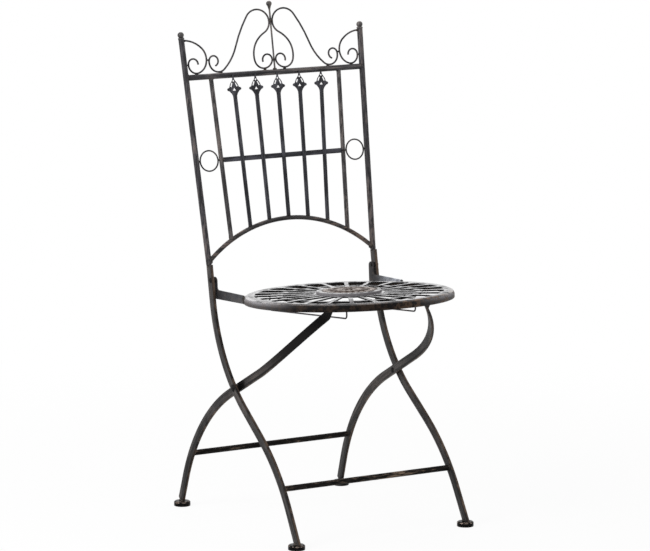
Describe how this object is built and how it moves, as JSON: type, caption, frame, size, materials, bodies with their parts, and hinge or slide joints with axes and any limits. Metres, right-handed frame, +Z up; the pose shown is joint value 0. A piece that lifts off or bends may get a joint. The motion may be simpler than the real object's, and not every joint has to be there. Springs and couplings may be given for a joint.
{
  "type": "folding garden chair",
  "caption": "Folding iron garden chair with a round openwork cast seat, a back with spear bars and wire scrolls, and curved scissor legs on disc feet.",
  "frame": {"origin": "on the floor under the middle of the unfolded chair, at the centre of the bounding box in X and Y", "axes": "+Z up, -Y is the way the sitter faces, +X towards the sitter's left hand"},
  "size_m": [0.4122, 0.5347, 0.9751],
  "materials": {
    "upright_paint": "satin charcoal paint with rubbed bronze streaks",
    "knob_paint": "satin pewter grey paint",
    "rail_paint": "satin charcoal paint",
    "baluster_paint": "satin brown-grey paint, brushed lengthwise",
    "spear_paint": "satin blue-grey charcoal paint",
    "wire_paint": "satin grey paint",
    "leg_paint": "satin charcoal paint with brown rubbed edges",
    "cross_bar_paint": "satin near-black paint with brown patches",
    "foot_paint": "gloss near-black paint",
    "rivet_steel": "satin near-black paint",
    "seat_iron": "lacquered dark cast iron with silvery highlights",
    "medallion_bronze": "lacquered cast iron rubbed with bronze",
    "bracket_paint": "satin charcoal paint"
  },
  "bodies": {
    "back_frame": {"left_upright": "upright_paint", "right_upright": "upright_paint", "knobs": "knob_paint", "top_rail": "rail_paint", "back_arch": "rail_paint", "mid_rail": "rail_paint", "left_outer_baluster": "baluster_paint", "right_outer_baluster": "baluster_paint", "spear_1": "spear_paint", "spear_2": "spear_paint", "spear_3": "spear_paint", "spear_4": "spear_paint", "spear_5": "spear_paint", "side_rings": "wire_paint", "crest_scrolls": "wire_paint", "corner_scrolls": "wire_paint", "crest_rod": "wire_paint", "left_front_leg": "leg_paint", "right_front_leg": "leg_paint", "front_cross_bar": "cross_bar_paint", "front_feet": "foot_paint", "scissor_rivets": "rivet_steel", "scissor_spacers": "rivet_steel", "seat_rivets": "rivet_steel", "seat_spacers": "rivet_steel"},
    "rear_legs": {"left_rear_leg": "leg_paint", "right_rear_leg": "leg_paint", "rear_cross_bar": "cross_bar_paint", "rear_feet": "foot_paint"},
    "seat": {"seat_casting": "seat_iron", "seat_medallion": "medallion_bronze", "left_hinge_bracket": "bracket_paint", "right_hinge_bracket": "bracket_paint", "left_guide_wire": "wire_paint", "right_guide_wire": "wire_paint"},
    "slide_bar": {"slide_bar": "wire_paint"}
  },
  "joints": [
    {"name": "fold", "type": "hinge", "parent": "back_frame", "child": "rear_legs", "pos_m": [0, 0.04637, 0.2656], "axis": [-1, 0, 0], "range_deg": [0, 63]},
    {"name": "seat_turn", "type": "hinge", "parent": "back_frame", "child": "seat", "pos_m": [0, 0.12908, 0.46], "axis": [-1, 0, 0], "range_deg": [0, 94.8]},
    {"name": "bar_slide", "type": "slide", "parent": "seat", "child": "slide_bar", "axis": [0, 0.998, -0.0633], "range_m": [0, 0.225]}
  ],
  "couplings": [
    {"joint": "seat_turn", "follows": "fold", "ratio": 1.5046},
    {"joint": "bar_slide", "follows": "fold", "m_per_rad": 0.20413}
  ]
}
